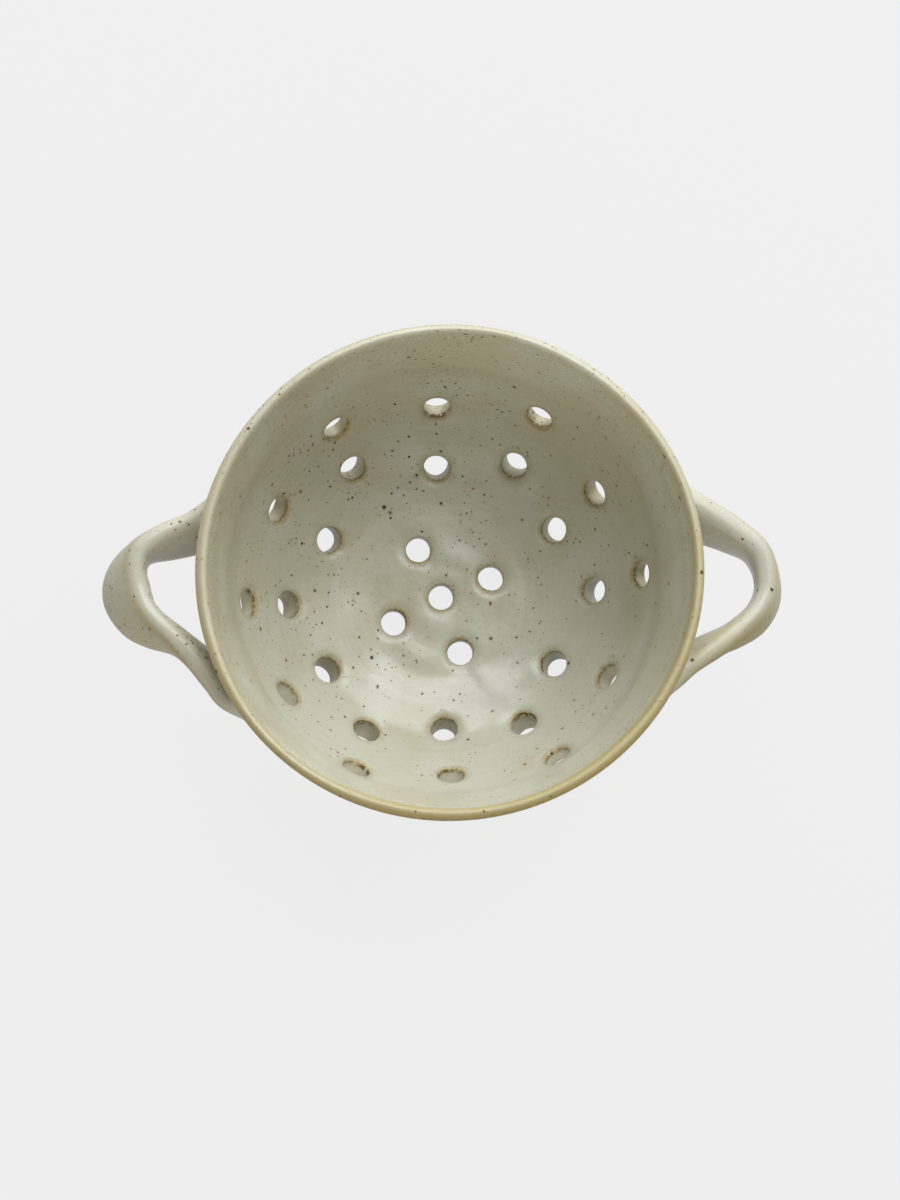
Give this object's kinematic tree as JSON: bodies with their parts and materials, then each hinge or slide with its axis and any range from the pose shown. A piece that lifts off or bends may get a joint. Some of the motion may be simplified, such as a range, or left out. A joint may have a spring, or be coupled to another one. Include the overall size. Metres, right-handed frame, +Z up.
{
  "type": "berry colander bowl",
  "caption": "Deep stoneware bowl on a foot ring, its wall and floor punched all over with round drain holes, and a pulled strap handle at either side.",
  "frame": {"origin": "centre of the foot, on the surface the bowl stands on", "axes": "+X through the right handle, -Y towards the viewer of the picture, +Z up through the open mouth"},
  "size_m": [0.2273, 0.16, 0.089],
  "materials": {
    "bowl_glaze": "semi-gloss grey-green cream reactive glaze, iron-speckled, breaking to olive brown on the rim and hole edges",
    "handle_glaze": "the same semi-gloss speckled glaze, paler on the top edges and olive on the sharper ones",
    "foot_glaze": "the same glaze, wiped back to bare clay where the ring stands",
    "slip": "matt fired clay slip, hidden in the joints"
  },
  "bodies": {
    "root": {"bowl_body": "bowl_glaze", "foot_ring": "foot_glaze", "foot_slip": "slip", "left_handle": "handle_glaze", "left_handle_slip": "slip", "right_handle": "handle_glaze", "right_handle_slip": "slip"}
  },
  "joints": []
}
